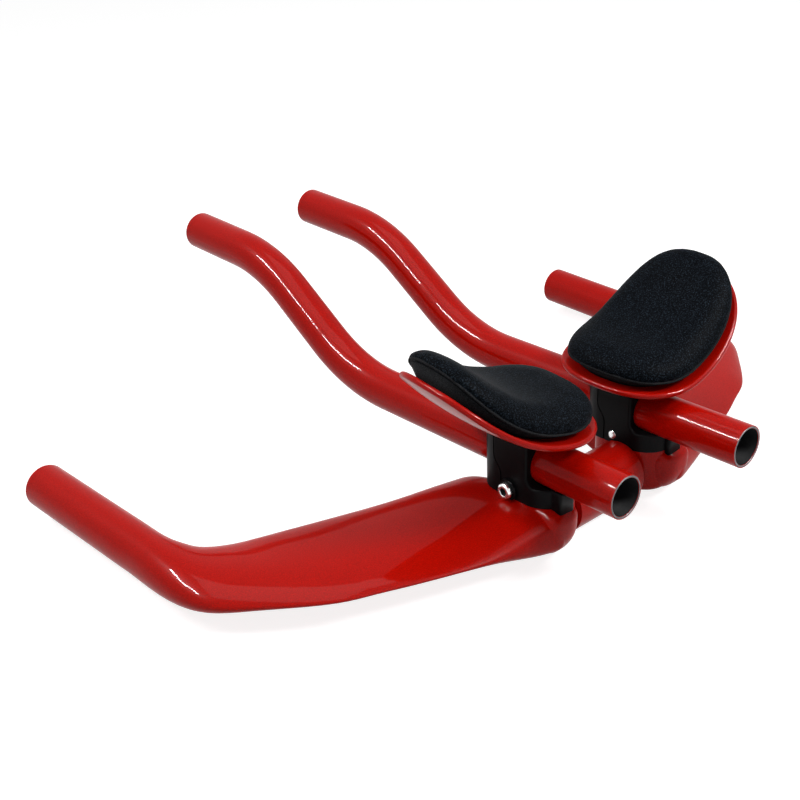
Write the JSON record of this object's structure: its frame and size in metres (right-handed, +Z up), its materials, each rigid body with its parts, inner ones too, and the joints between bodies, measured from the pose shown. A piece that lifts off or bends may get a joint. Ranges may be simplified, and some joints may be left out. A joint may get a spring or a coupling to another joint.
{
  "type": "aerobar",
  "caption": "Time-trial handlebar: swept wing base bar with bullhorn grips, clamped S-bend extensions and padded armrest cups.",
  "frame": {"origin": "middle of the round stem land, on its axis", "axes": "+X to the rider's right along the land, +Y forward, +Z up"},
  "size_m": [0.432, 0.353, 0.1181],
  "materials": {
    "red_gloss": "gloss clear-coated red",
    "black_alloy": "satin black anodised",
    "steel": "bright steel",
    "pad_fabric": "knit fabric over foam",
    "hook_loop": "hook-and-loop tape"
  },
  "bodies": {
    "root": {"base_bar": "red_gloss", "right_bracket": "black_alloy", "right_pinch_bolt": "steel", "right_bracket_bolts": "steel", "right_bracket_washers": "steel", "right_armrest_cup": "red_gloss", "right_cup_bolts": "steel", "right_cup_washers": "steel", "right_pad_strip": "hook_loop", "right_arm_pad": "pad_fabric", "right_extension": "red_gloss", "left_bracket": "black_alloy", "left_pinch_bolt": "steel", "left_bracket_bolts": "steel", "left_bracket_washers": "steel", "left_armrest_cup": "red_gloss", "left_cup_bolts": "steel", "left_cup_washers": "steel", "left_pad_strip": "hook_loop", "left_arm_pad": "pad_fabric", "left_extension": "red_gloss"}
  },
  "joints": []
}
